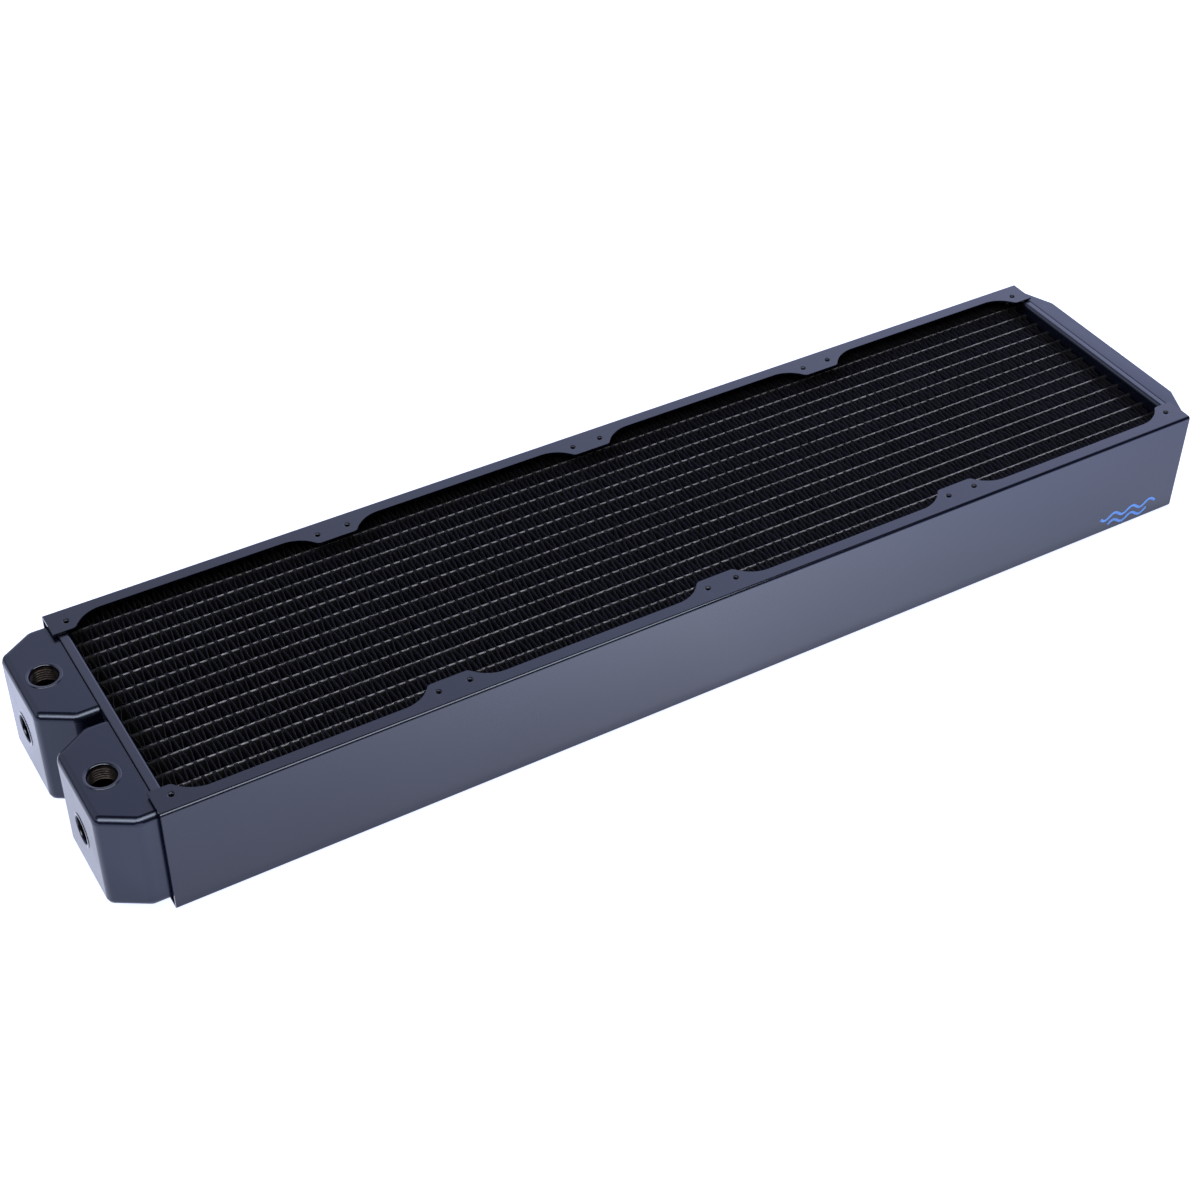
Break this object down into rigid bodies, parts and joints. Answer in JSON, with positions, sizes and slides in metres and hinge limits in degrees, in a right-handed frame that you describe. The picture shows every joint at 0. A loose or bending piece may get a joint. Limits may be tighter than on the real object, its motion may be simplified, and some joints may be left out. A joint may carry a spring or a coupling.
{
  "type": "liquid cooling radiator",
  "caption": "Long black fan-cooled radiator for a liquid cooling loop, with threaded ports on twin end chambers and a screw plug in the return tank.",
  "frame": {"origin": "middle of the overall box at its lowest face, the lower fan face", "axes": "+X along the length, from the two port chambers towards the return tank; +Y towards the inlet chamber's side; +Z from the lower fan face to the upper one"},
  "size_m": [0.599, 0.1432, 0.058],
  "materials": {
    "side_channel_paint": "satin black powder coat on sheet steel",
    "header_paint": "satin black paint on copper sheet",
    "tank_paint": "satin black paint on deep-drawn copper",
    "tube_paint": "thin matt black paint, worn to bare metal on the edges",
    "fin_paint": "matt black paint on copper foil",
    "bush_metal": "dark tarnished brass thread, painted outer rim",
    "plug_metal": "black nickel plate on turned brass",
    "seal_rubber": "matt black rubber"
  },
  "bodies": {
    "radiator": {"fin_strip_01": "fin_paint", "fin_strip_02": "fin_paint", "fin_strip_03": "fin_paint", "fin_strip_04": "fin_paint", "fin_strip_05": "fin_paint", "fin_strip_06": "fin_paint", "fin_strip_07": "fin_paint", "fin_strip_08": "fin_paint", "fin_strip_09": "fin_paint", "fin_strip_10": "fin_paint", "fin_strip_11": "fin_paint", "fin_strip_12": "fin_paint", "fin_strip_13": "fin_paint", "fin_strip_14": "fin_paint", "fin_strip_15": "fin_paint", "flat_tube_01": "tube_paint", "flat_tube_02": "tube_paint", "flat_tube_03": "tube_paint", "flat_tube_04": "tube_paint", "flat_tube_05": "tube_paint", "flat_tube_06": "tube_paint", "flat_tube_07": "tube_paint", "flat_tube_08": "tube_paint", "flat_tube_09": "tube_paint", "flat_tube_10": "tube_paint", "flat_tube_11": "tube_paint", "flat_tube_12": "tube_paint", "flat_tube_13": "tube_paint", "flat_tube_14": "tube_paint", "header_plate_chambers": "header_paint", "header_plate_return": "header_paint", "inlet_chamber": "tank_paint", "outlet_chamber": "tank_paint", "port_bush_inlet_bottom": "bush_metal", "port_bush_inlet_end": "bush_metal", "port_bush_inlet_top": "bush_metal", "port_bush_outlet_bottom": "bush_metal", "port_bush_outlet_end": "bush_metal", "port_bush_outlet_top": "bush_metal", "port_bush_return_fill": "bush_metal", "return_tank": "tank_paint", "side_channel_front": "side_channel_paint", "side_channel_rear": "side_channel_paint"},
    "plug_seal": {"plug_o_ring": "seal_rubber"},
    "plug": {"fill_plug": "plug_metal"}
  },
  "joints": [
    {"name": "plug_travel", "type": "slide", "parent": "radiator", "child": "plug_seal", "axis": [1, 0, 0], "range_m": [0, 0.0067]},
    {"name": "plug_turn", "type": "hinge", "parent": "plug_seal", "child": "plug", "pos_m": [0.2958, 0, 0.029], "axis": [1, 0, 0], "range_deg": [0, 1800]}
  ],
  "couplings": [
    {"joint": "plug_travel", "follows": "plug_turn", "m_per_rad": 0.00021279}
  ]
}
